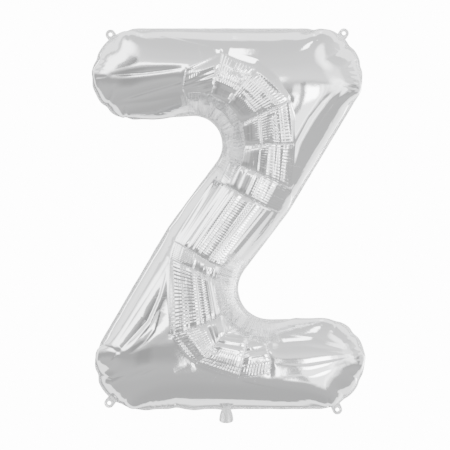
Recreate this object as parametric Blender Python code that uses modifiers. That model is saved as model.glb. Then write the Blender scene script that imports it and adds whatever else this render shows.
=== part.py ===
"""An inflated foil balloon in the shape of the letter Z.

Two sheets of film, front and back, are welded round their edge. Outside the weld a narrow
margin runs all the way round, with four punched hanging tabs and the flat filling neck.
The letter stands in the XZ plane and faces -Y. The origin is the middle of the letter.
"""

import math

import bmesh
import bpy
import numpy as np
from mathutils import Vector
from mathutils.geometry import delaunay_2d_cdt

# Letter's outline at the margin's edge, clockwise from the top left: each corner and its radius
LETTER_CORNERS = [
    # x, z, radius
    (-0.2710, 0.3815, 0.094),  # top bar's free end, upper
    (0.3405, 0.3815, 0.095),  # pointed corner, top right
    (0.1200, 0.0140, 0.250),  # diagonal's right edge, where it bends a little
    (-0.0430, -0.2000, 0.061),  # inside of the lower elbow
    (0.2720, -0.1965, 0.080),  # bottom bar's free end, upper
    (0.2720, -0.3785, 0.096),  # bottom bar's free end, lower
    (-0.3335, -0.3785, 0.090),  # pointed corner, bottom left
    (-0.1200, -0.0140, 0.250),  # diagonal's left edge, where it bends a little
    (0.0500, 0.2140, 0.057),  # inside of the upper elbow
    (-0.2710, 0.1930, 0.084),  # top bar's free end, lower
]
BOTTOM_Z = LETTER_CORNERS[5][1]
ARC_STEP = math.radians(10)
LINE_STEP = 0.024

# Film
WALL = 0.002
MARGIN = 0.004
MARGIN_THICK = 0.001
SEAT_GAP = 0.0003
SKIRT = 0.0015  # straight foot of each sheet, where it stands on the margin
SWELL_LIMIT = 0.101  # film can't stretch, so the wide elbows stay under this half depth
SWELL_SHARPNESS = 10  # how late the limit is felt: a plain tube's half depth hardly loses any
FULLNESS = 0.93  # of a full round tube's half depth
RING_ANGLES = (0, 14, 28, 42, 56, 70, 83)  # round the tube's quarter, in degrees

# Inside the elbows the film is pulled taut and stands lower
INNER_ELBOWS = (3, 8)
TAUT_SHARE = 0.45
TAUT_REACH = 0.018

# Creases across the tube, where it bends like a mitred pipe
CREASES = [
    # depth, then (x, z) points from end to end
    (0.0030, (-0.063, 0.208), (-0.082, 0.237), (-0.090, 0.258), (-0.083, 0.297)),
    (0.0045, (-0.040, 0.204), (-0.035, 0.241), (-0.019, 0.297), (-0.011, 0.331)),
    (0.0045, (-0.023, 0.196), (-0.001, 0.230), (0.039, 0.283), (0.055, 0.299)),
    (0.0045, (-0.006, 0.171), (0.026, 0.189), (0.085, 0.217), (0.121, 0.235)),
    (0.0050, (-0.009, 0.150), (0.044, 0.146), (0.089, 0.150), (0.131, 0.148)),
    (0.0040, (-0.013, 0.128), (0.008, 0.112), (0.083, 0.080), (0.125, 0.059)),
    (0.0040, (-0.031, 0.083), (0.015, 0.056), (0.073, 0.025), (0.101, 0.014)),
    (0.0045, (-0.108, -0.042), (-0.093, -0.049), (-0.038, -0.086), (0.004, -0.101)),
    (0.0040, (-0.118, -0.076), (-0.064, -0.101), (-0.027, -0.118), (-0.003, -0.126)),
    (0.0045, (-0.114, -0.228), (-0.049, -0.207), (-0.023, -0.194), (0.012, -0.171)),
    (0.0045, (-0.065, -0.286), (-0.043, -0.270), (-0.011, -0.230), (0.006, -0.215)),
    (0.0045, (0.019, -0.316), (0.035, -0.259), (0.039, -0.240), (0.046, -0.211)),
    (0.0045, (0.082, -0.305), (0.084, -0.278), (0.077, -0.244), (0.067, -0.207)),
]
CREASE_STEP = 0.014
CREASE_HALF_WIDTH = 0.006
CREASE_FADE = 0.15  # share of a crease, at each end, over which it comes up to the surface
CREASE_CLEAR = 0.005  # the sheet's other points keep this far from a crease's three lines

# Hanging tabs: name, the corner whose round carries it, and the middle of its hole
TABS = [
    # name, corner, x, z
    ("tab_top_left", 0, -0.2350, 0.3690),
    ("tab_top_right", 1, 0.2305, 0.3715),
    ("tab_bottom_right", 5, 0.2175, -0.3790),
    ("tab_bottom_left", 6, -0.2375, -0.3660),
]
TAB_RADIUS = 0.010
TAB_HOLE = 0.0035

# Filling neck
NECK_X = -0.004
NECK_FOOT_Z = -0.4065
NECK_TOP_WIDTH = 0.0135
NECK_FOOT_WIDTH = 0.0285
NECK_FOOT_BOW = 0.003
NECK_FILM = 0.0008
VALVE_WIDTH = 0.010
VALVE_UP = 0.008  # the strip ends this far above the neck's foot

FOIL = ("foil", (0.80, 0.81, 0.82), 0.12, 1.0)
VALVE_FILM = ("valve_film", (0.86, 0.87, 0.88), 0.30, 0.0)


def clear_scene():
    for obj in list(bpy.data.objects):
        bpy.data.objects.remove(obj)


def material(look):
    name, colour, roughness, metallic = look
    made = bpy.data.materials.get(name) or bpy.data.materials.new(name)
    made.use_nodes = True
    shader = made.node_tree.nodes["Principled BSDF"]
    shader.inputs["Base Color"].default_value = (*colour, 1.0)
    shader.inputs["Roughness"].default_value = roughness
    shader.inputs["Metallic"].default_value = metallic
    return made


def corner_arc(before, corner, after, radius):
    """Centre, start angle and turn of the arc that rounds a corner."""
    into = (corner - before).normalized()
    out = (after - corner).normalized()
    turn = into.angle_signed(out)  # positive turns clockwise
    side = -1 if turn > 0 else 1
    start = corner - into * radius * math.tan(abs(turn) / 2)
    centre = start + Vector((-into.y, into.x)) * side * radius
    start_angle = math.atan2(start.y - centre.y, start.x - centre.x)
    return centre, start_angle, -turn


def corner_arcs():
    """The arcs of all corners, in order, as (centre, start angle, turn, radius)."""
    arcs = []
    for i, (x, z, radius) in enumerate(LETTER_CORNERS):
        before = Vector(LETTER_CORNERS[i - 1][:2])
        after = Vector(LETTER_CORNERS[(i + 1) % len(LETTER_CORNERS)][:2])
        arcs.append((*corner_arc(before, Vector((x, z)), after, radius), radius))
    return arcs


def outline(arc_step, line_step):
    """Points of the letter's outline and their outward normals, clockwise."""
    points, normals = [], []
    arcs = corner_arcs()
    for i, (centre, start, turn, radius) in enumerate(arcs):
        steps = max(1, round(abs(turn) / arc_step))
        outward = 1 if turn < 0 else -1
        for k in range(steps + 1):
            angle = start + turn * k / steps
            way = Vector((math.cos(angle), math.sin(angle)))
            points.append(centre + way * radius)
            normals.append(way * outward)
        next_centre, next_start, _, next_radius = arcs[(i + 1) % len(arcs)]
        begin = points[-1]
        end = next_centre + Vector((math.cos(next_start), math.sin(next_start))) * next_radius
        pieces = max(1, round((end - begin).length / line_step))
        if pieces == 1 and (end - begin).length < line_step / 2:
            points.pop()
            normals.pop()
        for k in range(1, pieces):
            points.append(begin.lerp(end, k / pieces))
            normals.append(normals[-1].copy())
    return np.array(points), np.array(normals)


def offset_outline(distance, arc_step=ARC_STEP):
    points, normals = outline(arc_step, LINE_STEP)
    return points + normals * distance


def inscribed_radii(points, normals, border):
    """Radius of the largest circle inside the border that touches it at each point."""
    apart = points[:, None, :] - border[None, :, :]
    along = np.einsum("ijk,ik->ij", apart, normals)
    squared = (apart**2).sum(axis=2)
    usable = along > 1e-3 * np.sqrt(squared) + 1e-9
    return np.where(usable, squared / (2 * np.where(usable, along, 1)), np.inf).min(axis=1)


def flat_rings():
    """Closed rings of (x, z) points, from the weld to near the letter's middle line."""
    points, normals = outline(ARC_STEP, LINE_STEP)
    weld = points - normals * MARGIN
    fine_points, fine_normals = outline(ARC_STEP / 4, LINE_STEP / 6)
    radii = inscribed_radii(weld, normals, fine_points - fine_normals * MARGIN)
    depths = [1 - math.cos(math.radians(angle)) for angle in RING_ANGLES]
    return [weld - normals * (radii * depth)[:, None] for depth in depths]


def crease_lines():
    """The lines of all creases: each crease's valley, with a flank on either side of it."""
    lines = []
    for _, *corners in CREASES:
        corners = np.array(corners)
        runs = np.concatenate([[0], np.cumsum(np.hypot(*np.diff(corners, axis=0).T))])
        at = np.linspace(0, runs[-1], round(runs[-1] / CREASE_STEP) + 1)
        valley = np.column_stack([np.interp(at, runs, corners[:, axis]) for axis in (0, 1)])
        along = np.gradient(valley, axis=0)
        across = np.column_stack([-along[:, 1], along[:, 0]]) / np.hypot(*along.T)[:, None]
        lines += [valley, valley + across * CREASE_HALF_WIDTH, valley - across * CREASE_HALF_WIDTH]
    return lines


def crease_depths(points):
    """How far the creases lower each point."""
    depths = np.zeros(len(points))
    for depth, *corners in CREASES:
        corners = np.array(corners)
        lengths = np.hypot(*np.diff(corners, axis=0).T)
        runs = np.concatenate([[0], np.cumsum(lengths)])
        for start, end, run, length in zip(corners, corners[1:], runs, lengths):
            along = np.clip((points - start) @ (end - start) / length, 0, length)
            gap = np.hypot(*(points - start - along[:, None] * (end - start) / length).T)
            share = (run + along) / runs[-1]
            faded = np.minimum(1, np.minimum(share, 1 - share) / CREASE_FADE)
            depths = np.maximum(depths, depth * faded * np.maximum(0, 1 - gap / CREASE_HALF_WIDTH))
    return depths


def taut_shares(points):
    """Share of the film's height that is lost near the inner elbows."""
    arcs = corner_arcs()
    nearest = np.full(len(points), np.inf)
    for corner in INNER_ELBOWS:
        centre, start, turn, radius = arcs[corner]
        arc = np.array(arc_points(centre, radius + MARGIN, start, start + turn, 24))
        apart = points[:, None, :] - arc[None, :, :]
        nearest = np.minimum(nearest, np.hypot(apart[..., 0], apart[..., 1]).min(axis=1))
    return TAUT_SHARE * np.exp(-nearest / TAUT_REACH)


def swollen_heights(points, triangles, held):
    """Height of each point of a film that is held flat at its rim and blown up.

    With u the solution of laplacian(u) = -1 and u = 0 at the rim, sqrt(2 u) over a straight
    strip is exactly half a round tube. The limit then holds the wider places down.
    """
    stiffness = np.zeros((len(points), len(points)))
    load = np.zeros(len(points))
    for i, j, k in (triangles, np.roll(triangles, 1, 0), np.roll(triangles, 2, 0)):
        to_i, to_j = points[i] - points[k], points[j] - points[k]
        twice_area = np.abs(to_i[:, 0] * to_j[:, 1] - to_i[:, 1] * to_j[:, 0])
        half_cotangent = (to_i * to_j).sum(axis=1) / twice_area / 2
        np.add.at(stiffness, (i, i), half_cotangent)
        np.add.at(stiffness, (j, j), half_cotangent)
        np.add.at(stiffness, (i, j), -half_cotangent)
        np.add.at(stiffness, (j, i), -half_cotangent)
        np.add.at(load, i, twice_area / 6)
    free = np.flatnonzero(~held)
    solution = np.zeros(len(points))
    solution[free] = np.linalg.solve(stiffness[np.ix_(free, free)], load[free])
    full_height = FULLNESS * np.sqrt(2 * solution) * (1 - taut_shares(points))
    share = (full_height / SWELL_LIMIT) ** SWELL_SHARPNESS
    return full_height / (1 + share) ** (1 / SWELL_SHARPNESS)


def flat_sheet():
    """A sheet before it is blown up: a mesh in the XZ plane with points along every crease."""
    border, *inner_rings = flat_rings()
    lines = crease_lines()
    on_creases = np.vstack(lines)
    spread = np.vstack(inner_rings)
    apart = spread[:, None, :] - on_creases[None, :, :]
    spread = spread[np.hypot(apart[..., 0], apart[..., 1]).min(axis=1) > CREASE_CLEAR]
    places = np.vstack([border, on_creases, spread])
    edges = [(k, (k + 1) % len(border)) for k in range(len(border))]
    first = len(border)
    for line in lines:
        edges += [(first + k, first + k + 1) for k in range(len(line) - 1)]
        first += len(line)
    inside_only = 1
    joined = delaunay_2d_cdt([Vector(place) for place in places], edges, [], inside_only, 1e-5)
    mesh = bmesh.new()
    verts = [mesh.verts.new((place.x, 0, place.y)) for place in joined[0]]
    for face in joined[2]:
        mesh.faces.new([verts[k] for k in face])
    for vert in [vert for vert in mesh.verts if not vert.link_faces]:
        mesh.verts.remove(vert)
    mesh.verts.index_update()
    return mesh


def build_sheet(name, side, collection):
    """One sheet of film, facing -Y for side -1: flat, then swollen, with a foot and a wall."""
    mesh = flat_sheet()
    points = np.array([(vert.co.x, vert.co.z) for vert in mesh.verts])
    triangles = np.array([[vert.index for vert in face.verts] for face in mesh.faces]).T
    held = np.array([vert.is_boundary for vert in mesh.verts])
    heights = swollen_heights(points, triangles, held) - crease_depths(points)
    foot = MARGIN_THICK / 2 + SEAT_GAP
    for vert, height in zip(mesh.verts, heights):
        vert.co.y = side * (foot + SKIRT + height)
    rim = [edge for edge in mesh.edges if edge.is_boundary]
    skirt = bmesh.ops.extrude_edge_only(mesh, edges=rim)["geom"]
    for vert in (item for item in skirt if isinstance(item, bmesh.types.BMVert)):
        vert.co.y = side * foot
    bmesh.ops.recalc_face_normals(mesh, faces=mesh.faces)
    crest = max(mesh.faces, key=lambda face: abs(face.calc_center_median().y))
    if crest.normal.y * side < 0:
        bmesh.ops.reverse_faces(mesh, faces=mesh.faces)
    sheet = object_from(name, mesh, collection, FOIL)
    wall = sheet.modifiers.new("wall", "SOLIDIFY")
    wall.thickness = WALL
    wall.offset = -1
    wall.use_even_offset = True
    sheet.data.shade_smooth()
    return sheet


def object_from(name, mesh, collection, look):
    data = bpy.data.meshes.new(name)
    mesh.to_mesh(data)
    mesh.free()
    obj = bpy.data.objects.new(name, data)
    collection.objects.link(obj)
    data.materials.append(material(look))
    return obj


def flat_plate(name, loops, thickness, collection, look):
    """A plate in the XZ plane, cut to closed loops of (x, z) points, the inner ones holes."""
    curve = bpy.data.curves.new(name, "CURVE")
    curve.dimensions = "2D"
    curve.fill_mode = "BOTH"
    curve.extrude = thickness / 2
    for loop in loops:
        spline = curve.splines.new("POLY")
        spline.points.add(len(loop) - 1)
        for point, (x, z) in zip(spline.points, loop):
            point.co = (x, z, 0, 1)
        spline.use_cyclic_u = True
    obj = bpy.data.objects.new(name, curve)
    obj.rotation_euler = (math.pi / 2, 0, 0)
    collection.objects.link(obj)
    curve.materials.append(material(look))
    return obj


def arc_points(centre, radius, start, end, steps):
    angles = np.linspace(start, end, steps + 1)
    return [(centre[0] + radius * math.cos(a), centre[1] + radius * math.sin(a)) for a in angles]


def build_margin(collection):
    """The welded margin, from just inside the sheets' feet to the letter's outer edge."""
    inner = offset_outline(-MARGIN - WALL - 0.001, ARC_STEP / 2)
    outer = offset_outline(0, ARC_STEP / 2)
    return flat_plate("weld_margin", [outer, inner], MARGIN_THICK, collection, FOIL)


def build_tab(name, corner, x, z, collection):
    """A punched tab that grows from the round of one corner, out through its hole's middle."""
    centre, _, _, radius = corner_arcs()[corner]
    reach = Vector((x, z)) - centre
    root = radius + SEAT_GAP
    half_angle = math.asin(TAB_RADIUS / root)
    loop = arc_points((0, 0), root, half_angle, -half_angle, 6)
    loop += arc_points((reach.length, 0), TAB_RADIUS, -math.pi / 2, math.pi / 2, 14)
    punched = arc_points((reach.length, 0), TAB_HOLE, 0, math.tau, 24)[:-1]
    tab = flat_plate(name, [loop, punched], MARGIN_THICK, collection, FOIL)
    tab.rotation_euler.y = -math.atan2(reach.y, reach.x)
    tab.location = (centre.x, 0, centre.y)
    return tab


def neck_outline():
    """A bell: narrow at the weld, flaring to a bowed foot. Clockwise from the top."""
    top = BOTTOM_Z + MARGIN - SEAT_GAP
    foot = NECK_FOOT_Z + NECK_FOOT_BOW
    side = []
    for share in np.linspace(0, 1, 9):
        flare = math.sin(share * math.pi / 2) ** 0.8
        width = NECK_TOP_WIDTH + (NECK_FOOT_WIDTH - NECK_TOP_WIDTH) * flare
        side.append((width / 2, top + (foot - top) * share))
    bow = [
        (NECK_FOOT_WIDTH / 2 * math.cos(angle), foot - NECK_FOOT_BOW * math.sin(angle))
        for angle in np.linspace(0, math.pi, 9)[1:-1]
    ]
    half = side + bow
    other = [(-x, z) for x, z in reversed(side)]
    return [(NECK_X + x, z) for x, z in half + other]


def build_neck(collection):
    """Front and back films of the neck, lapped over the margin, with the valve between them."""
    bell = neck_outline()
    stand_off = MARGIN_THICK / 2 + SEAT_GAP + NECK_FILM / 2
    for name, side in (("neck_front_film", -1), ("neck_back_film", 1)):
        film = flat_plate(name, [bell], NECK_FILM, collection, FOIL)
        film.location.y = side * stand_off
    top = BOTTOM_Z - SEAT_GAP
    left, right = NECK_X - VALVE_WIDTH / 2, NECK_X + VALVE_WIDTH / 2
    foot = NECK_FOOT_Z + VALVE_UP
    strip = [(left, top), (right, top), (right, foot), (left, foot)]
    flat_plate("valve_film", [strip], MARGIN_THICK, collection, VALVE_FILM)


def main():
    clear_scene()
    letter = bpy.data.collections.new("letter_foil_balloon")
    bpy.context.scene.collection.children.link(letter)
    build_sheet("front_sheet", -1, letter)
    build_sheet("back_sheet", 1, letter)
    build_margin(letter)
    for name, corner, x, z in TABS:
        build_tab(name, corner, x, z, letter)
    build_neck(letter)


main()
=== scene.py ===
"""Looks of an inflated foil balloon in the shape of the letter Z.

The two sheets of film are cut flat, welded along the letter's outline and blown up here, in a
small simulation. Ring creases, shoulders and seam puckers are then pressed into them.
"""

import math

import bpy
import numpy as np
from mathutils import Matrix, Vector


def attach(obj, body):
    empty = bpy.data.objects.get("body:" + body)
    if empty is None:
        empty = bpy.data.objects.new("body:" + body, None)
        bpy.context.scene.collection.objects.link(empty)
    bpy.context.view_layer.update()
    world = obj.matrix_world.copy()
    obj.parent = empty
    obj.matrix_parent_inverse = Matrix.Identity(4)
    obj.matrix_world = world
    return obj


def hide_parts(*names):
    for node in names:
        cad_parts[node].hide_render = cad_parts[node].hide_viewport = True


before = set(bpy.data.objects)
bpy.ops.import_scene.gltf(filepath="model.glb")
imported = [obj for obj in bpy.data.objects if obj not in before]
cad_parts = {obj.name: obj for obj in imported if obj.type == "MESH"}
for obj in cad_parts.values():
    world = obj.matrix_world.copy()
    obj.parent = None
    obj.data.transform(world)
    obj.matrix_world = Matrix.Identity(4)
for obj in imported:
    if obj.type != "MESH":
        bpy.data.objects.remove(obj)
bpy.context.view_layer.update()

# Letter's outline at the margin's edge, clockwise from the top left
LETTER_CORNERS = [
    # x, z and radius of each corner
    (-0.271, 0.3815, 0.094), (0.3405, 0.3815, 0.095), (0.12, 0.014, 0.25), (-0.043, -0.2, 0.061),
    (0.272, -0.1965, 0.08), (0.272, -0.3785, 0.096), (-0.3335, -0.3785, 0.09),
    (-0.12, -0.014, 0.25), (0.05, 0.214, 0.057), (-0.271, 0.193, 0.084),
]
MARGIN = 0.004
LINE_STEP = 0.002

# The photograph's frame. The points of all lines below are in its pixels
PHOTO_SIZE = 450
PHOTO_CENTRE = (228.3, 219.5)  # the letter's middle
PIXEL = 0.001995  # metres

# Film, cut wider than the blown-up letter
CUT_EXTRA = 0.05
CUT_EXTRA_CONVEX = 0.002  # metres for each unit of curvature
CUT_EXTRA_CONCAVE = 0.0025
CUT_BLUR, TURN_BLUR = 0.01, 0.045  # along the weld
FAR = 9.0  # farther than any two points here

# The film's lattice of triangles, and how it is blown up
ROOT3 = math.sqrt(3)
LATTICE_WAYS = ((0, 1), (1, 0), (1, -1))  # rows and columns to three of a node's neighbours
ALL_WAYS = (*LATTICE_WAYS, *((-down, -across) for down, across in LATTICE_WAYS))
KEPT_OUTSIDE, SNAPPED_INSIDE = 0.5, 0.4  # of the spacing, from the cut line
SMALLEST_TRIANGLE = 0.13  # twice its area, in squares of the spacing
NODES_AT_ONCE = 3000
FILM_SEED = 3
FIRST_LIFT = 0.002
TUBE_RADIUS = 0.085
TIME_STEP = 0.28
YIELDS = 1.2  # past this much of a round tube's strain the film gives way
CRUSH = 0.01  # the most that it pushes back where there is too much of it
BLOWING = [
    # spacing, steps, steps that draw the weld in, strain, share of speed kept, bending stiffness
    (0.008, 1000, 600, 0.03, 0.985, 0.02),
    (0.008, 1000, 0, 0.006, 0.99, 0.02),
    (0.004, 500, 0, 0.006, 0.99, 0.01),
    (0.0022, 130, 0, 0.006, 0.99, 0.01),
]

# Ring creases across the tube, down the letter, each from one weld to the other
RINGS = [
    # depth; streaks, ribs and how far across the ribs start on the part that follows; points
    (0.0015, 0.25, 0.1, 0.5, (196.8, 115), (187, 100.7), (183.4, 90), (186.5, 70.4)),
    (0.0025, 0.3, 1, 0.5, (208, 117), (210.6, 98.9), (218.7, 70.4), (222.7, 53.4)),
    (0.0025, 0.25, 1, 0.42, (216.9, 121.3), (228, 104.3), (247.7, 77.5), (255.7, 69.5)),
    (0.0025, 1, 0.5, 0.35, (225.4, 133.8), (241.4, 124.8), (270.9, 110.5), (288.8, 101.6)),
    (0.0028, 1, 0.4, 0.45, (223.6, 144.5), (250.4, 146.3), (272.7, 144.5), (294, 145.4)),
    (0.0022, 0.7, 0.3, 0.45, (221.8, 155.2), (232.5, 163.2), (270, 179.3), (291, 189.7)),
    (0.0022, 1, 0.15, 0.25, (213, 178), (236, 191.6), (264.8, 206.9), (279, 212.6)),
    (0.0025, 0.6, 0.2, 0.5, (174, 240.4), (181.6, 244.2), (209.3, 262.4), (230.4, 270)),
    (0.0022, 1, 0.4, 0.3, (169, 257.6), (196, 270), (215, 278.7), (226.6, 282.5)),
    (0.0025, 0.6, 0.8, 0.45, (171, 334), (203.6, 323.5), (217, 316.8), (234.2, 305.3)),
    (0.0025, 0.4, 0.8, 0.5, (195.9, 362.7), (206.5, 355), (222.7, 335), (231.3, 327.3)),
    (0.0025, 0.3, 0.3, 0.6, (238, 378), (245.7, 349.3), (247.6, 339.8), (251.4, 325.4)),
    (0.0022, 0, 0, 0.5, (269.6, 372.3), (270.6, 358.9), (266.7, 341.7), (262, 323.5)),
]
RING_WIDTH = 0.0048
UPPER_PARTS = 7  # round the upper elbow, whose outer side is at the last points

# The straight film between two rings
PROFILE_PLACES = np.linspace(0, 1, 33)  # along a ring
PROFILE_BLUR = 0.03
PROFILE_REACH = 0.004
HALVINGS = 16
RULED_EDGE = 0.08  # where the straight film fades in, at the rings' ends
RIBS_RISE = 0.25

# Steep fans at the inner elbows: distances from the weld, and shares of the elbow's turn
INNER_ELBOWS = (8, 3)
FAN_FOOT, FAN_CREASE, FAN_END = 0.008, 0.04, 0.095
FAN_LIFT, FAN_FALL = 0.011, 1.3
FAN_FULL, FAN_GONE = 0.8, 1.25
TAUT_BEFORE, TAUT_AFTER = 0.004, 0.002  # round the crease, where the taut lines end

# How valleys are pressed in
CREASE_ENDS = (0.03, 0.97)
CREASE_TAPER, SHOULDER_TAPER = 0.4, 0.6
VALLEY_SLOPE = 1.3
CREASES_START, PUCKERS_START = 0.02, 0.006  # full from this far off the weld
CREASE_SIDE_LIMIT = 0.02
WAVER, WAVER_SLOW, WAVER_QUICK = 0.0003, 0.031, 0.012  # size and wave lengths

# Where the ribbed tube meets the smooth corner pockets, and the valley down the lower pocket
SHOULDERS = [
    # depth, width inside and outside the bend, side of the bend, points
    (0.006, 0.014, 0.06, -1, (223.6, 51.6), (257.5, 60), (276, 77.5), (289, 99), (295, 120.4),
     (294.5, 145.4), (292, 190)),
    (0.006, 0.014, 0.045, 1, (168, 257), (167, 290), (168, 312), (172, 335), (181.6, 349.3),
     (197.8, 366.6), (217, 374.2), (239, 379)),
    (0.008, 0.007, 0.022, 1, (167, 266), (158, 295), (147, 319), (120, 350)),
]

# Long folds, where the film is pulled from the letter's ends and pointed corners
FOLDS = [
    # depth, width, lines of points
    (0.0022, 0.007, [(120, 101), (152, 91.5), (184, 82.5)]),
    (0.002, 0.006, [(113, 76), (145, 74), (180, 70)]),
    (0.0015, 0.006, [(116, 106), (150, 103), (182, 97)]),
    (0.0013, 0.005, [(340, 85), (321.7, 103.8), (309, 121), (296.4, 145), (291.8, 185)]),
    (0.0012, 0.0045, [(345, 88), (324, 116), (304, 150)]),
    (0.001, 0.004, [(347, 94), (327.4, 121), (304.4, 162.4), (293, 188)]),
    (0.0012, 0.004, [(169.4, 258.4), (141, 303), (113.7, 345.7)]),
    (0.001, 0.0055, [(159, 311.2), (153.9, 328.4), (144.7, 341), (133.2, 350.2), (122, 354)]),
    (0.0008, 0.008, [(130, 377), (155, 366)], [(174, 371), (190, 364.5)]),
    (0.0011, 0.006, [(345, 346), (312, 336), (280, 334)], [(346, 351), (305, 345), (268, 347)],
     [(346, 356), (305, 362), (272, 361)]),
    (0.0011, 0.007, [(347, 362), (312, 374), (284, 377)]),
]

# Where the seam itself is nicked or bulges
NICKS = [
    # x, y, how far inward and half length along the seam, all in the photograph's pixels
    (127.4, 30.5, 1, 3), (97.7, 60, 1.2, 4), (92.9, 71.7, -1, 5), (94, 86, -0.8, 5),
    (107.8, 106, 1.8, 4.5), (125.4, 118, 1.6, 4.5), (313.8, 30, 1.4, 4), (332, 32, -1, 7),
    (350.4, 45, 1.8, 5), (360, 66, 1, 4), (359.5, 90, -1, 6), (98, 346, 1.2, 4),
    (98.5, 374.5, 2, 5), (122, 404, 1.2, 5), (146, 411, -1.6, 8), (176.9, 409.5, 1.6, 6),
    (195.2, 412, -1.8, 8), (226, 411, -1, 7), (336, 318, 1.6, 5), (320, 317, -1, 8),
    (353, 333, 1.6, 5), (363, 357, -0.8, 5), (360.5, 380, 1.2, 5), (346, 400.5, 1.2, 5),
    (336, 408.5, -1, 5),
]

# Puckers at the seam, where the film is gathered round the letter's ends
PUCKERS = [
    # depth at the seam, width, lines of points from the seam inwards
    (0.0022, 0.003, [(127.4, 29), (129.3, 44)], [(313.6, 29), (316, 45.3)]),
    (0.0014, 0.0022, [(99, 60), (109, 62)], [(97, 66), (109, 67)], [(96.5, 71), (109, 71.5)],
     [(97, 78), (109, 77)], [(358, 72), (345, 71.5)], [(358, 77), (345, 76)],
     [(357, 83), (344, 81)], [(359, 346), (348, 349)], [(360, 352), (348, 354)],
     [(361, 358), (349, 359)]),
    (0.0028, 0.0035, [(106, 107), (112.5, 96.5), (116.4, 84)],
     [(100, 344), (112, 347), (123, 354)], [(352, 334), (342, 343)]),
    (0.0028, 0.003, [(125.5, 119), (126, 103)], [(358, 60), (343.5, 69.4)],
     [(121, 407), (128, 394)], [(177, 410), (175.7, 397)], [(336, 319), (334, 334)],
     [(347, 401), (340, 390)]),
    (0.0033, 0.0045, [(350, 42), (338.9, 53.3), (322, 63)]),
    (0.0028, 0.0028, [(357, 89), (339, 86)]),
    (0.0028, 0.0032, [(98, 375), (112.6, 377.8), (128.6, 372)], [(362, 380), (348, 374)]),
    (0.0022, 0.0022, [(150, 410), (151, 400)], [(156, 410), (157, 399)],
     [(162, 410), (162.5, 400)], [(168, 410), (169, 399)]),
    (0.0025, 0.003, [(329, 408), (327, 395)]),
]

# Margin
MARGIN_THICK = 0.0005
MARGIN_SEED = 11
MARGIN_WANDER, WANDER_BLUR = 0.0004, 3.0  # in the letter's plane
MARGIN_FLUTTER, FLUTTER_BLUR = 0.0004, 2.2  # out of it
MARGIN_SECTION = [
    # outwards from the weld, share of the half thickness, share of the wander and flutter
    (-0.0015, 1, 0), (0.0002, 1, 0), (0.0008, 0.6, 0.2), (0.0016, 1, 0.5), (0.003, 1, 0.8),
    (MARGIN - 0.0002, 0.8, 1), (MARGIN, 0.3, 1),
]

# Tabs
TABS = [
    # name, corner, x, z
    ("tab_top_left", 0, -0.235, 0.369),
    ("tab_top_right", 1, 0.2305, 0.3715),
    ("tab_bottom_right", 5, 0.2175, -0.379),
    ("tab_bottom_left", 6, -0.2375, -0.366),
]
TAB_RADIUS = 0.01
TAB_HOLE = 0.0035  # radius
TAB_NARROWEST = 1.3  # hole radii, to the tab's edge
TAB_THICK = 0.0006
TAB_LAP = 0.001  # over the letter's margin
TAB_BOW = 0.0006
TAB_BOW_AT_LETTER = 0.3  # share of it on the welded side
TAB_STEPS = 72
TAB_SECTION = [
    # share of the way from the hole to the edge, share of the half thickness
    (0, 0.4), (0.04, 1), (0.22, 1), (0.3, 0.55), (0.62, 0.55), (0.72, 1), (0.95, 1), (1, 0.4),
]

# Neck
NECK_CORNER = 5  # at the letter's foot
NECK_X = -0.004
NECK_FOOT_Z = -0.4065
NECK_TOP_WIDTH = 0.0135
NECK_FOOT_WIDTH = 0.0285
NECK_FOOT_BOW = 0.006
NECK_FLARE = 0.8
NECK_FILM = 0.0004
NECK_STAND_OFF = 0.0009
NECK_PART = 0.0012  # how far each film swells out at the open foot
NECK_WELD_SHARE, NECK_WELD_SLOPE = 0.25, 0.5  # how it rises from the weld
NECK_RIPPLES, NECK_RIPPLE_SHARE = 7.0, 0.6
NECK_ACROSS, NECK_DOWN = 33, 21

# Foil's relief, as bump
RIB_LENGTH = 0.0056
RIB_HEIGHT = 0.00042
RIB_DRIFT = 4.5
RIB_PATCHES = (0.35, 0.6, 0.3, 1.2)  # from and to in the noise, and the ribs' share there
STREAKS_ACROSS = 7
STREAK_CHANGE = 1.37  # from part to part
STREAK_HEIGHT = 0.011
TAUT_LINES = 120
TAUT_WIDTH = 0.1
TAUT_HEIGHT = 0.003
CREASE_HEIGHT = 0.0007  # the sharp bottom of each crease
CREASE_HALF_WIDTH = 0.0016

# Studio. Places in it are directions from the letter, of length 1
BACKDROP_LIGHT = 14
REAR_LIGHT = 2.8
REAR_SHARE = 0.75
REAR_FROM, REAR_TO = 0.14, 0.22
REAR_END, REAR_GONE = 0.72, 0.88  # straight behind, the studio is like the front again
REAR_LATER_BELOW, BELOW_FROM, BELOW_TO = 0.18, -0.6, 0.0
REAR_LATER_BESIDE, BESIDE_FROM, BESIDE_TO = 0.35, 0.25, 0.5
PANELS_FULL = 0.2  # away from straight sideways
FRONT_LIGHT = [
    # height, light
    (-1, 0.6), (-0.7, 0.7), (-0.45, 0.76), (-0.15, 0.56), (0, 0.56), (0.12, 0.95), (0.24, 1.65),
    (0.6, 1.32), (1, 1.15),
]
SOFT_BOXES = [
    # x, y, z, full within and gone past these angles, strength
    (-0.75, -0.45, 0.58, 8, 30, 3.4),
    (0.8, -0.5, 0.35, 8, 16, 0.8),
    (0.86, -0.5, 0.06, 9, 18, 1.8),
    (0.62, -0.52, 0.6, 1, 14, 2.2),
]
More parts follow.
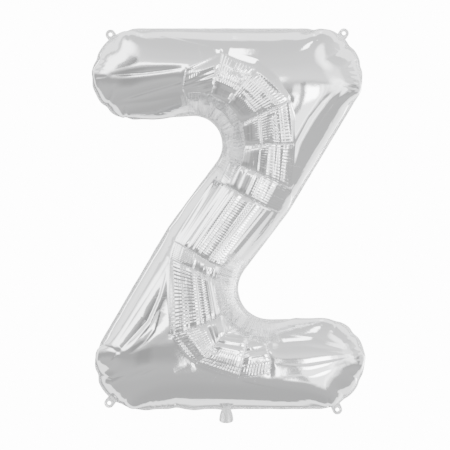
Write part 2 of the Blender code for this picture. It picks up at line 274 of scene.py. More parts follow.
# Panels round the camera, dark or bright, which the tube's streaks mirror
PANELS = [
    # from x, to x, softness, from height, to height, softness, share of light left, light added
    (0.14, 0.6, 0.05, -0.46, 0.05, 0.12, 1, 2.4),
    (0.6, 0.68, 0.05, -0.44, 0.1, 0.06, 1, 1.4),
    (0.68, 0.95, 0.06, -0.2, 0.1, 0.08, 1, 1),
    (0.34, 0.52, 0.04, -0.14, 0.03, 0.08, 1, 8),
    (0.14, 0.19, 0.02, -0.45, -0.05, 0.05, 1, 5),
    (0.23, 0.29, 0.02, -0.46, 0.12, 0.05, 0.3, 0),
    (-0.55, -0.42, 0.15, -0.3, -0.05, 0.15, 0.8, 0),
    (-0.45, -0.1, 0.15, 0.21, 0.27, 0.03, 1, 4.5),
    (0.08, 0.17, 0.03, 0.84, 0.93, 0.03, 1, 6),
    (-0.7, -0.48, 0.03, 0.26, 0.42, 0.03, 0.2, 0),
]
FLOOR_Z, FLOOR_RADIUS = -0.65, 2.5
CAMERA_AWAY = 8
SENSOR = 36  # millimetres


def at_pixel(x, y):
    """Place in the letter's plane of a point in the photograph."""
    return np.array((x - PHOTO_CENTRE[0], PHOTO_CENTRE[1] - y)) * PIXEL


def corner_arc(index):
    """Centre, radius, start angle and turn of the arc that rounds a corner."""
    places = np.array([place[:2] for place in LETTER_CORNERS])
    before, corner, after = places[index - 1], places[index], places[(index + 1) % len(places)]
    radius = LETTER_CORNERS[index][2]
    into = (corner - before) / np.hypot(*(corner - before))
    out = (after - corner) / np.hypot(*(after - corner))
    turn = math.atan2(into[0] * out[1] - into[1] * out[0], into @ out)
    start = corner - into * radius * math.tan(abs(turn) / 2)
    centre = start + np.array((-into[1], into[0])) * math.copysign(radius, turn)
    return centre, radius, math.atan2(start[1] - centre[1], start[0] - centre[0]), turn


def outline(arc_step=math.radians(1)):
    """Points of the letter's outline, clockwise, on the arcs of its corners."""
    points = []
    for index in range(len(LETTER_CORNERS)):
        centre, radius, start, turn = corner_arc(index)
        steps = max(1, round(abs(turn) / arc_step))
        for k in range(steps + 1):
            angle = start + turn * k / steps
            points.append(centre + radius * np.array((math.cos(angle), math.sin(angle))))
    return np.array(points)


def even_line(points, step):
    """A closed line, with its points about a step apart."""
    sides = np.roll(points, -1, 0) - points
    run = np.concatenate([[0], np.cumsum(np.hypot(*sides.T))])
    closed = np.vstack([points, points[:1]])
    count = int(run[-1] / step)
    at = np.arange(count) * run[-1] / count
    return np.column_stack([np.interp(at, run, closed[:, axis]) for axis in (0, 1)])


def line_normals(points):
    """Outward normals of a closed clockwise line."""
    along = np.roll(points, -1, 0) - np.roll(points, 1, 0)
    along /= np.hypot(*along.T)[:, None]
    return np.column_stack([-along[:, 1], along[:, 0]])


def smooth_round(values, width):
    """Values along a closed line, blurred over a width given in points."""
    wave = np.fft.fftfreq(len(values))
    weight = np.exp(-2 * (math.pi * wave * width) ** 2)
    spectrum = np.fft.fft(values, axis=0)
    return np.real(np.fft.ifft((spectrum.T * weight).T, axis=0))


def nicked(line, normals):
    """A line round the letter, with the seam's nicks and bulges."""
    inward = np.zeros(len(line))
    for x, y, depth, half in NICKS:
        gap = np.hypot(*(line - at_pixel(x, y)).T)
        inward += depth * PIXEL * np.exp(-((gap / (half * PIXEL)) ** 2))
    return line - normals * inward[:, None]


def weld_lines():
    """The weld of the blown-up letter, its normals, and the same line on the flat film."""
    edge = even_line(outline(), LINE_STEP)
    weld = even_line(edge - line_normals(edge) * MARGIN, LINE_STEP)
    normals = smooth_round(line_normals(weld), 1.0)
    normals /= np.hypot(*normals.T)[:, None]
    along = np.column_stack([normals[:, 1], -normals[:, 0]])
    turning = ((np.roll(normals, -1, 0) - np.roll(normals, 1, 0)) * along).sum(1) / (2 * LINE_STEP)
    turning = smooth_round(turning, TURN_BLUR / LINE_STEP)
    extra = CUT_EXTRA - CUT_EXTRA_CONVEX * np.maximum(turning, 0)
    extra -= CUT_EXTRA_CONCAVE * np.maximum(-turning, 0)
    extra = smooth_round(extra, CUT_BLUR / LINE_STEP)
    return nicked(weld, normals), normals, weld + normals * extra[:, None]


def cell_corners(array):
    """Four views of an array, with the corners a, b, c and d of each cell of the lattice."""
    return array[..., :-1, :-1], array[..., :-1, 1:], array[..., 1:, :-1], array[..., 1:, 1:]


class Film:
    """A flat lattice of triangles inside a closed line."""

    def __init__(self, flat, spacing):
        self.spacing = spacing
        self.flat = flat
        normals = line_normals(flat)
        self.low = flat.min(0) - 2 * spacing
        high = flat.max(0) + 2 * spacing
        self.rows = int((high[1] - self.low[1]) / (spacing * ROOT3 / 2)) + 2
        self.columns = int((high[0] - self.low[0]) / spacing + self.rows / 2) + 3
        row, column = np.mgrid[0:self.rows, 0:self.columns]
        x = self.low[0] + (column - self.rows // 2 + row / 2) * spacing
        z = self.low[1] + row * spacing * ROOT3 / 2
        nodes = np.stack([x, z], -1)
        inside_box = (x > self.low[0]) & (x < high[0])
        apart = np.full(x.shape, FAR)
        foot = nodes.copy()
        place = np.zeros(x.shape)
        found = self.near_line(nodes[inside_box], normals)
        apart[inside_box], foot[inside_box], place[inside_box] = found
        keep = apart < KEPT_OUTSIDE * spacing
        snapped = keep & (apart > -SNAPPED_INSIDE * spacing)
        self.nodes = np.where(snapped[..., None], foot, nodes)
        self.from_weld = np.maximum(-apart, 0)
        self.place_on_line = place
        self.find_triangles(keep)

    def near_line(self, nodes, normals):
        """Signed distance to the line, positive outside, the nearest point and its place."""
        apart, place = np.empty(len(nodes)), np.empty(len(nodes))
        foot = np.empty_like(nodes)
        for part in np.array_split(np.arange(len(nodes)), max(1, len(nodes) // NODES_AT_ONCE)):
            gap = nodes[part][:, None] - self.flat[None]
            nearest = (gap**2).sum(2).argmin(1)
            away = nodes[part] - self.flat[nearest]
            outward = (away * normals[nearest]).sum(1)
            apart[part] = np.sign(outward) * np.hypot(*away.T)
            foot[part] = nodes[part] - outward[:, None] * normals[nearest]
            along = away[:, 0] * normals[nearest][:, 1] - away[:, 1] * normals[nearest][:, 0]
            place[part] = nearest + np.clip(along / LINE_STEP, -0.5, 0.5)
        return apart, foot, place

    def find_triangles(self, keep):
        """Marks the triangles that point up and down, the nodes they use and those on the rim."""

        def twice_area(a, b, c):
            u, v = b - a, c - a
            return u[0] * v[1] - u[1] * v[0]

        a, b, c, d = cell_corners(np.moveaxis(self.nodes, -1, 0))
        has_a, has_b, has_c, has_d = cell_corners(keep)
        small = SMALLEST_TRIANGLE * self.spacing**2
        up = has_a & has_b & has_c & (twice_area(a, b, c) > small)
        down = has_b & has_d & has_c & (twice_area(b, d, c) > small)
        used = np.zeros(keep.shape, bool)
        for part, triangles in zip(cell_corners(used), (up, up | down, up | down, down)):
            part |= triangles
        # How many triangles share each edge, kept at the corner of a cell that it starts from
        sharing = [np.zeros(keep.shape, int) for _ in LATTICE_WAYS]
        for count, start_up, start_down in zip(sharing, (0, 0, 1), (2, 1, 1)):
            for start, triangles in ((start_up, up), (start_down, down)):
                part = cell_corners(count)[start]
                part += triangles
        rim = np.zeros(keep.shape, bool)
        for (down_rows, across), count in zip(LATTICE_WAYS, sharing):
            rows, columns = np.nonzero(count == 1)
            rim[rows, columns] = True
            rim[rows + down_rows, columns + across] = True
        self.up, self.down, self.used, self.rim, self.sharing = up, down, used, rim, sharing

    def flat_places(self):
        """The nodes' places on the flat film."""
        places = np.zeros((3, self.rows, self.columns), np.float32)
        places[0], places[2] = self.nodes[..., 0], self.nodes[..., 1]
        return places

    def lattice_edges(self):
        """For each lattice way: its edges' flat lengths, and their stiffness, less on the rim."""
        edges = []
        for way, count in zip(LATTICE_WAYS, self.sharing):
            a, b = neighbours(self.flat_places(), way)
            length = np.sqrt(((b - a) ** 2).sum(0)).astype(np.float32)
            count = neighbours(count, way)[0]
            stiffness = np.where(count == 1, 0.5, 1.0) * (count > 0)
            edges.append((way, length, stiffness.astype(np.float32)))
        return edges

    def triangles(self):
        """The nodes that the film uses, and its triangles as places in that list."""
        ids = np.arange(self.rows * self.columns).reshape(self.rows, self.columns)
        a, b, c, d = cell_corners(ids)
        faces = [np.stack([a, b, c], -1)[self.up], np.stack([b, d, c], -1)[self.down]]
        used, index = np.unique(np.concatenate(faces), return_inverse=True)
        return used, index.reshape(-1, 3)


def neighbours(array, way):
    """Two views of an array, whose elements are neighbours along a lattice way."""
    rows, columns = array.shape[-2:]
    down, across = way
    left, right = max(0, -across), max(0, across)
    here = array[..., : rows - down, left : columns - right]
    return here, array[..., down:, right : columns - left]


def crossed(u, v):
    """Cross products of two arrays of vectors."""
    (ux, uy, uz), (vx, vy, vz) = u, v
    return np.stack([uy * vz - uz * vy, uz * vx - ux * vz, ux * vy - uy * vx])


def triangle_push(shape, film, force, pressure):
    """Adds the gas's push on every triangle of a shape to the force on its corners."""
    a, b, c, d = cell_corners(shape)
    pushed = cell_corners(force)
    push = crossed(b - a, c - a) * (film.up * pressure)
    for corner in pushed[:3]:
        corner += push
    push = crossed(d - b, c - b) * (film.down * pressure)
    for corner in pushed[1:]:
        corner += push


def bending(shape, deep, force, stiffness):
    """Adds the film's resistance to bending to the force on its nodes."""
    bent = np.zeros_like(shape)
    for way in LATTICE_WAYS:
        a, b = neighbours(shape, way)
        bent_a, bent_b = neighbours(bent, way)
        bent_a += b - a
        bent_b -= b - a
    bent *= deep * np.float32(stiffness)
    for way in LATTICE_WAYS:
        a, b = neighbours(bent, way)
        force_a, force_b = neighbours(force, way)
        force_a -= b - a
        force_b += b - a


def blow_up(film, shape, weld, steps, closing, stretch, kept, bend):
    """Lets a shape settle under the gas's pressure. The weld is drawn in to its place first.

    stretch is the film's strain round a plain tube. The film gives way a little past it, so it
    doesn't pull straight across the letter from elbow to elbow.
    """
    edges = film.lattice_edges()
    pressure = np.float32(stretch * 2 / ROOT3 / TUBE_RADIUS / 6)
    deep = film.used & ~film.rim
    for way in ALL_WAYS:
        deep = deep & np.roll(film.used, way, (0, 1))
    rim_place = film.place_on_line[film.rim]
    before = np.floor(rim_place).astype(int) % len(weld)
    share = (rim_place - np.floor(rim_place))[:, None]
    goal = weld[before] * (1 - share) + weld[(before + 1) % len(weld)] * share
    start = shape[:, film.rim][[0, 2]].T.copy()
    speed = np.zeros_like(shape)
    force = np.empty_like(shape)
    live = film.used.astype(np.float32) * np.float32(TIME_STEP)
    for step in range(steps):
        force[:] = 0
        for way, length, stiffness in edges:
            a, b = neighbours(shape, way)
            apart = b - a
            now = np.sqrt(apart[0] ** 2 + apart[1] ** 2 + apart[2] ** 2) + 1e-9
            apart *= stiffness * np.clip(1 - length / now, -CRUSH, YIELDS * stretch)
            force_a, force_b = neighbours(force, way)
            force_a += apart
            force_b -= apart
        triangle_push(shape, film, force, pressure)
        bending(shape, deep, force, bend)
        force *= live
        speed += force
        speed *= kept
        speed[:, film.rim] = 0
        shape += speed
        if step <= closing:
            done = 1.0 if closing == 0 else step / closing
            rim_places = start * (1 - done) + goal * done
            shape[0][film.rim], shape[2][film.rim] = rim_places.T
        shape[1][film.rim] = 0
        np.minimum(shape[1], 0, out=shape[1])
    return shape


def carried(film, shape, finer):
    """A shape, moved from one lattice to a finer one."""
    moved = (shape - film.flat_places()).astype(np.float64)
    known = film.used.copy()
    moved *= known
    for _ in range(4):
        total = sum(np.roll(moved, way, (1, 2)) for way in ALL_WAYS)
        count = sum(np.roll(known, way, (0, 1)).astype(int) for way in ALL_WAYS)
        new = ~known & (count > 0)
        moved[:, new] = total[:, new] / count[new]
        known |= new
    row = (finer.nodes[..., 1] - film.low[1]) / (film.spacing * ROOT3 / 2)
    column = (finer.nodes[..., 0] - film.low[0]) / film.spacing + film.rows // 2 - row / 2
    row, column = np.clip(row, 0, film.rows - 2), np.clip(column, 0, film.columns - 2)
    j, i = np.floor(row).astype(int), np.floor(column).astype(int)
    b, a = row - j, column - i
    near = moved[:, j, i] * (1 - a - b) + moved[:, j, i + 1] * a + moved[:, j + 1, i] * b
    far = moved[:, j + 1, i + 1] * (a + b - 1) + moved[:, j + 1, i] * (1 - a)
    far += moved[:, j, i + 1] * (1 - b)
    out = finer.flat_places() + np.where(a + b <= 1, near, far).astype(np.float32)
    out[1][finer.rim] = 0
    return out


def shape_normals(film, shape):
    """Outward normals of a front sheet's shape, at its nodes."""
    total = np.zeros_like(shape)
    triangle_push(shape, film, total, np.float32(1))
    return total / (np.sqrt((total**2).sum(0)) + 1e-12)


def inflated_sheet():
    """The front sheet, blown up on ever finer lattices."""
    weld, _, flat = weld_lines()
    draw = np.random.default_rng(FILM_SEED)
    film = Film(flat, BLOWING[0][0])
    shape = film.flat_places()
    lifted = -FIRST_LIFT - FIRST_LIFT * draw.random(shape[1].shape)
    shape[1] = np.where(film.used & ~film.rim, lifted, 0)
    for spacing, *settings in BLOWING:
        if spacing != film.spacing:
            finer = Film(flat, spacing)
            shape = carried(film, shape, finer)
            film = finer
        shape = blow_up(film, shape, weld, *settings)
    return film, shape


def eased(value, low, high):
    """0 below low to 1 above high."""
    share = np.clip((value - low) / (high - low), 0, 1)
    return share * share * (3 - 2 * share)


def drawn(points):
    """A line of points in the photograph: its places, its parts' lengths and the run to each."""
    corners = np.array([at_pixel(*point) for point in points])
    lengths = np.hypot(*np.diff(corners, axis=0).T)
    return corners, lengths, np.concatenate([[0], np.cumsum(lengths)])


def nearest_on_line(x, z, points):
    """For each node: its distance from a line, its share of the line's length and its side."""
    corners, lengths, runs = drawn(points)
    best, share, side = np.full(x.shape, FAR), np.zeros(x.shape), np.ones(x.shape)
    for start, end, length, run in zip(corners, corners[1:], lengths, runs):
        way = (end - start) / length
        along = np.clip((x - start[0]) * way[0] + (z - start[1]) * way[1], 0, length)
        gap = np.hypot(start[0] + along * way[0] - x, start[1] + along * way[1] - z)
        closer = gap < best
        best[closer] = gap[closer]
        share[closer] = ((run + along) / runs[-1])[closer]
        side[closer] = np.sign(way[0] * (z - start[1]) - way[1] * (x - start[0]))[closer]
    return best, share, side


def around_elbow(x, z, corner):
    """Distance from the weld at an inner elbow, 1 beside its round to 0, and the run round it."""
    centre, radius, start, turn = corner_arc(corner)
    away = np.hypot(x - centre[0], z - centre[1]) - radius - MARGIN
    middle = start + turn / 2
    off_middle = np.angle(np.exp(1j * (np.arctan2(z - centre[1], x - centre[0]) - middle)))
    beside = 1 - eased(np.abs(off_middle), abs(turn) / 2 * FAN_FULL, abs(turn) / 2 * FAN_GONE)
    return away, beside, off_middle * radius


def fill_fans(film, shape):
    """At the inner elbows the film stands up as a steep cone, out to a crease round it."""
    x, y, z = shape.astype(float)
    lift = np.zeros_like(y)
    fan, fan_run = np.zeros_like(y), np.zeros_like(y)
    for corner in INNER_ELBOWS:
        away, beside, run = around_elbow(x, z, corner)
        rise = np.clip((away - FAN_FOOT) / (FAN_CREASE - FAN_FOOT), 0, 1)
        fall = np.clip((FAN_END - away) / (FAN_END - FAN_CREASE), 0, 1) ** FAN_FALL
        lift += FAN_LIFT * beside * rise * fall
        here = beside * (1 - eased(away, FAN_CREASE - TAUT_BEFORE, FAN_CREASE + TAUT_AFTER))
        fan_run = np.where(here > fan, run, fan_run)
        fan = np.maximum(fan, here)
    out = shape.copy()
    out[1] = np.where(film.rim, 0, y - lift)
    return out, {"fan": fan, "fan_run": fan_run}


def along_ring(points, share):
    """Places on a ring crease, by their share of its length."""
    corners, _, runs = drawn(points)
    return [np.interp(share, runs / runs[-1], corners[:, axis]) for axis in (0, 1)]


def ring_profile(film, height, x, z, points):
    """The film's height along a ring crease, at even places."""
    gap, share, _ = nearest_on_line(x, z, points)
    close = film.used & (gap < PROFILE_REACH)
    weights = np.exp(-(((share[close] - PROFILE_PLACES[:, None]) / PROFILE_BLUR) ** 2))
    return (weights * height[close]).sum(1) / weights.sum(1)


def ruled_places(x, z, first, second):
    """Each node's place across and along, on straight lines that join equal shares of two rings.

    The line through a node is found by halving.
    """

    def side(share):
        ax, az = along_ring(first, share)
        bx, bz = along_ring(second, share)
        return ax, az, bx, bz, (bx - ax) * (z - az) - (bz - az) * (x - ax)

    low, high = np.zeros(x.shape), np.ones(x.shape)
    start, end = side(low)[4], side(high)[4]
    for _ in range(HALVINGS):
        middle = (low + high) / 2
        before = side(middle)[4] * start > 0
        low, high = np.where(before, middle, low), np.where(before, high, middle)
    share = (low + high) / 2
    ax, az, bx, bz, _ = side(share)
    along = ((x - ax) * (bx - ax) + (z - az) * (bz - az)) / ((bx - ax) ** 2 + (bz - az) ** 2)
    return share, along, (start * end < 0) & (along > 0) & (along < 1)


def straighten_between_rings(film, shape):
    """Between two ring creases the film runs straight along the tube, as in a mitred elbow.

    Marks each node's run along the tube, its place across it from the elbow's inside, and how
    strongly it is streaked and ribbed.
    """
    x, y, z = shape.astype(float)
    new_y = y.copy()
    names = ("tube_run", "tube_across", "tube_part", "streaks", "ribs")
    marks = {name: np.zeros_like(y) for name in names}
    so_far = 0.0
    for k, (ring, next_ring) in enumerate(zip(RINGS, RINGS[1:])):
        _, streaks, ribs, ribs_from, *first = ring
        _, _, _, _, *second = next_ring
        share, along, reached = ruled_places(x, z, first, second)
        between = film.used & reached
        profiles = (ring_profile(film, y, x, z, points) for points in (first, second))
        start, end = (np.interp(share, PROFILE_PLACES, profile) for profile in profiles)
        ruled = start * (1 - along) + end * along
        weight = eased(np.minimum(share, 1 - share), 0.0, RULED_EDGE) * between
        new_y += (ruled - y) * weight
        across, outer = (share, 2) if k < UPPER_PARTS else (1 - share, 1)
        length = np.hypot(*(at_pixel(*first[outer]) - at_pixel(*second[outer])))
        for name, value in zip(names, (so_far + along * length, across, k + 1)):
            marks[name] = np.where(between, value, marks[name])
        marks["streaks"] = np.maximum(marks["streaks"], weight * streaks)
        ribbed = weight * ribs * eased(across, ribs_from, ribs_from + RIBS_RISE)
        marks["ribs"] = np.maximum(marks["ribs"], ribbed)
        so_far += length
    out = shape.copy()
    out[1] = np.where(film.rim, 0, new_y)
    return out, marks


def waves(along, beside):
    """A slow and a quick wave along one axis, both bent by the other axis."""
    slow, quick = math.tau / WAVER_SLOW, math.tau / WAVER_QUICK
    slow_wave = np.sin(along * slow + 2 * np.sin(beside * slow))
    return slow_wave + 0.5 * np.sin(along * quick + 1.5 * np.sin(beside * quick))


def pressed(x, z, valleys, at_both_ends):
    """Depth of the valleys along lines, which fade at both ends or all the way to the last."""
    depth = np.zeros_like(x)
    for low, width, *lines in valleys:
        for points in lines:
            gap, share, _ = nearest_on_line(x, z, points)
            if at_both_ends:
                here = low * np.sin(np.pi * np.clip(share, *CREASE_ENDS)) ** CREASE_TAPER
            else:
                here = low - low * share
            depth = np.maximum(depth, here * np.exp(-((gap / width) ** VALLEY_SLOPE)))
    return depth


def pressed_shoulders(x, z):
    """Depth of the shoulders' valleys, which are steep inside the bend and gentle outside it."""
    depth = np.zeros_like(x)
    for low, inside, outside, bend, *points in SHOULDERS:
        gap, share, side = nearest_on_line(x, z, points)
        here = low * np.sin(np.pi * np.clip(share, *CREASE_ENDS)) ** SHOULDER_TAPER
        reach = np.where(side == bend, inside, outside)
        depth = np.maximum(depth, here * np.exp(-((gap / reach) ** VALLEY_SLOPE)))
    return depth


def side_of_rings(x, z):
    """Distance from the nearest ring crease, negative on one side, and the share of its length."""
    nearest, signed, at = np.full(x.shape, FAR), np.full(x.shape, FAR), np.zeros(x.shape)
    for _, _, _, _, *points in RINGS:
        gap, share, _ = nearest_on_line(x, z, points)
        start, end = at_pixel(*points[0]), at_pixel(*points[-1])
        line_x, line_z = along_ring(points, share)
        away = (end[0] - start[0]) * (z - line_z) - (end[1] - start[1]) * (x - line_x)
        closer = gap < nearest
        nearest = np.where(closer, gap, nearest)
        signed = np.where(closer, gap * np.sign(away), signed)
        at = np.where(closer, share, at)
    return signed, at


def press_creases(film, shape):
    """Presses every valley into the film, and marks each node's side of its nearest ring."""
    x, _, z = shape.astype(float)
    # Places shifted a little, so that the rings and puckers waver
    near_x, near_z = x + WAVER * waves(z, x), z + WAVER * waves(x, z)
    rings = [(low, RING_WIDTH, points) for low, _, _, _, *points in RINGS]
    depth = pressed(near_x, near_z, rings, True) * eased(film.from_weld, 0, CREASES_START)
    depth = np.maximum(depth, pressed(x, z, FOLDS, True))
    puckers = pressed(near_x, near_z, PUCKERS, False) * eased(film.from_weld, 0, PUCKERS_START)
    depth = np.maximum(depth, puckers) + pressed_shoulders(x, z)
    signed, share = side_of_rings(near_x, near_z)
    marks = {
        "crease_side": np.clip(signed, -CREASE_SIDE_LIMIT, CREASE_SIDE_LIMIT),
        "crease": np.sin(np.pi * share) ** CREASE_TAPER,
    }
    return shape - shape_normals(film, shape) * depth.astype(np.float32), marks


def piece_from(name, points, faces, looks, replaced):
    """A mesh that rides on the body and stands for CAD nodes."""
    data = bpy.data.meshes.new(name)
    data.from_pydata([tuple(point) for point in points], [], [tuple(face) for face in faces])
    data.materials.append(looks)
    data.shade_smooth()
    obj = bpy.data.objects.new(name, data)
    bpy.context.scene.collection.objects.link(obj)
    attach(obj, "root")
    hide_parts(*replaced)
    return obj


def build_films(looks):
    """Front sheet and its mirror image at the back, with the marks that the relief uses."""
    film, shape = inflated_sheet()
    shape, fan_marks = fill_fans(film, shape)
    shape, marks = straighten_between_rings(film, shape)
    shape, crease_marks = press_creases(film, shape)
    marks |= crease_marks | fan_marks
    used, faces = film.triangles()
    points = shape.reshape(3, -1).T[used].astype(float)
    for name, side, node in (("front_film", 1, "front_sheet"), ("back_film", -1, "back_sheet")):
        obj = piece_from(name, points * (1, side, 1), faces[:, ::side], looks, [node])
        for label, values in marks.items():
            attribute = obj.data.attributes.new(label, "FLOAT", "POINT")
            attribute.data.foreach_set("value", values.ravel()[used].astype(np.float32))


def tube_faces(rings, around, closed):
    """Quads of a grid of points whose rows are rings of a closed cross-section."""
    faces = []
    for ring in range(rings if closed else rings - 1):
        here, after = ring * around, (ring + 1) % rings * around
        for k in range(around):
            beside = (k + 1) % around
            faces.append((here + k, here + beside, after + beside, after + k))
    return faces


def both_sides(section):
    """A cross-section's rows down the front side, -1, and back along the back side, 1."""
    return [(*row, -1) for row in section] + [(*row, 1) for row in reversed(section)]


def build_margin(looks):
    """The welded margin: a thin strip from just inside the weld out to the letter's edge."""
    weld, normals, _ = weld_lines()
    draw = np.random.default_rng(MARGIN_SEED)
    wander = smooth_round(draw.standard_normal(len(weld)), WANDER_BLUR)
    wander *= MARGIN_WANDER / np.abs(wander).max()
    flutter = smooth_round(draw.standard_normal(len(weld)), FLUTTER_BLUR)
    flutter *= MARGIN_FLUTTER / np.abs(flutter).max()
    section = both_sides(MARGIN_SECTION)
    points = np.empty((len(weld), len(section), 3))
    for k, (out, thick, share, side) in enumerate(section):
        reach = out + share * wander
        points[:, k, 0] = weld[:, 0] + normals[:, 0] * reach
        points[:, k, 2] = weld[:, 1] + normals[:, 1] * reach
        points[:, k, 1] = side * thick * MARGIN_THICK / 2 + share * flutter
    faces = tube_faces(len(weld), len(section), True)
    piece_from("margin", points.reshape(-1, 3), faces, looks, ["weld_margin"])


def build_tab(name, corner, x, z, looks):
    """A punched tab: rings from the hole out to the tab's edge and the letter's round."""
    centre, radius, _, _ = corner_arc(corner)
    middle = np.array((x, z))
    inward = (centre - middle) / np.hypot(*(centre - middle))
    beside = np.array((-inward[1], inward[0]))
    angles = np.arange(TAB_STEPS) * math.tau / TAB_STEPS
    to_round = np.hypot(*(centre - middle)) - radius + TAB_LAP
    reach = np.full(TAB_STEPS, TAB_RADIUS)
    cosine, sine = np.cos(angles), np.sin(angles)
    facing = cosine > 0
    beside_hole = TAB_RADIUS / np.maximum(np.abs(sine[facing]), 1e-6)
    reach[facing] = np.minimum(beside_hole, to_round / cosine[facing])
    reach = np.maximum(reach, TAB_HOLE * TAB_NARROWEST)
    section = both_sides(TAB_SECTION)
    points = np.empty((TAB_STEPS, len(section), 3))
    bow = TAB_BOW * np.sin(angles * 2 + corner)
    bow_share = np.where(facing, TAB_BOW_AT_LETTER, 1)
    for k, (share, thick, side) in enumerate(section):
        out = TAB_HOLE + (reach - TAB_HOLE) * share
        place = middle + (cosine * out)[:, None] * inward + (sine * out)[:, None] * beside
        points[:, k, 0], points[:, k, 2] = place.T
        points[:, k, 1] = side * thick * TAB_THICK / 2 + bow * share * bow_share
    faces = tube_faces(TAB_STEPS, len(section), True)
    piece_from(f"{name}_film", points.reshape(-1, 3), faces, looks, [name])


def build_neck(looks):
    """Front and back films of the neck, welded down both sides and open at the foot."""
    across = np.linspace(-1, 1, NECK_ACROSS)
    down = np.linspace(0, 1, NECK_DOWN)
    flare = np.sin(down * math.pi / 2) ** NECK_FLARE
    half_width = (NECK_TOP_WIDTH + (NECK_FOOT_WIDTH - NECK_TOP_WIDTH) * flare) / 2
    top = LETTER_CORNERS[NECK_CORNER][1] + MARGIN
    foot = NECK_FOOT_Z + NECK_FOOT_BOW
    for name, side in (("neck_front", -1), ("neck_back", 1)):
        x = NECK_X + across[None] * half_width[:, None]
        bowed = NECK_FOOT_BOW * np.sqrt(np.maximum(1 - across**2, 0))
        z = top + (foot - top) * down[:, None] - bowed[None] * down[:, None] ** 2
        swell = np.clip((1 - np.abs(across)) / NECK_WELD_SHARE, 0, 1) ** NECK_WELD_SLOPE
        ripple = 0.5 + 0.5 * np.cos(across * NECK_RIPPLES + side)
        ripple = 1 - NECK_RIPPLE_SHARE + NECK_RIPPLE_SHARE * ripple
        part = NECK_PART * down[:, None] ** 2 * swell[None] * ripple[None]
        y = side * (NECK_STAND_OFF + part)
        outer = np.stack([x, y + side * NECK_FILM / 2, z], -1)
        inner = np.stack([x, y - side * NECK_FILM / 2, z], -1)[:, ::-1]
        points = np.concatenate([outer, inner], 1)
        around = points.shape[1]
        faces = tube_faces(NECK_DOWN, around, False)
        faces.append(tuple(range(around)))
        faces.append(tuple((NECK_DOWN - 1) * around + k for k in reversed(range(around))))
        if side > 0:
            faces = [tuple(reversed(face)) for face in faces]
        piece_from(f"{name}_skin", points.reshape(-1, 3), faces, looks, [f"{name}_film"])


class Nodes:
    """Short names for making and linking shader nodes."""

    def __init__(self, tree):
        self.tree = tree

    def add(self, kind, links=(), **values):
        node = self.tree.nodes.new(kind)
        for key, value in values.items():
            setattr(node, key, value)
        for socket, source in dict(links).items():
            if isinstance(source, bpy.types.NodeSocket):
                self.tree.links.new(source, node.inputs[socket])
            else:
                node.inputs[socket].default_value = source
        return node

    def math(self, operation, a, b=0.0, c=0.0):
        return self.add("ShaderNodeMath", {0: a, 1: b, 2: c}, operation=operation).outputs[0]

    def times(self, a, b, plus=None):
        """a times b, plus a third value."""
        if plus is None:
            return self.math("MULTIPLY", a, b)
        return self.math("MULTIPLY_ADD", a, b, plus)

    def ramp(self, value, low, high, start=0.0, end=1.0):
        """value eased from low..high to start..end."""
        links = {"Value": value, "From Min": low, "From Max": high, "To Min": start, "To Max": end}
        ease = self.add("ShaderNodeMapRange", links, interpolation_type="SMOOTHSTEP")
        return ease.outputs["Result"]

    def band(self, value, low, high, soft):
        """1 from low to high, easing to 0 softly on either side."""
        rise = self.ramp(value, low - soft, low)
        fall = self.ramp(value, high, high + soft, 1, 0)
        return self.times(rise, fall)

    def noise(self, place, scale, detail, dimensions="3D"):
        """Cloudy noise, about 0.5."""
        socket = "W" if dimensions == "1D" else "Vector"
        links = {socket: place, "Scale": scale, "Detail": detail}
        return self.add("ShaderNodeTexNoise", links, noise_dimensions=dimensions).outputs["Fac"]

    def bump(self, height, strength, distance, normal=None):
        """The surface's normal over a relief."""
        links = {"Strength": strength, "Distance": distance, "Height": height}
        if normal is not None:
            links["Normal"] = normal
        return self.add("ShaderNodeBump", links).outputs["Normal"]

    def mottle(self, shader, place, scale, detail, roughness, spread):
        """Lets a shader's roughness vary a little from place to place."""
        cloud = self.noise(place, scale, detail)
        rough = self.ramp(cloud, 0.3, 0.7, roughness - spread, roughness + spread)
        self.tree.links.new(rough, shader.inputs["Roughness"])


def principled(name, colour, roughness, metallic):
    """A new material, its shader, its nodes and the place on the object that they read."""
    made = bpy.data.materials.new(name)
    made.use_nodes = True
    shader = made.node_tree.nodes["Principled BSDF"]
    shader.inputs["Base Color"].default_value = (*colour, 1.0)
    shader.inputs["Roughness"].default_value = roughness
    shader.inputs["Metallic"].default_value = metallic
    nodes = Nodes(made.node_tree)
    return made, shader, nodes, nodes.add("ShaderNodeTexCoord").outputs["Object"]


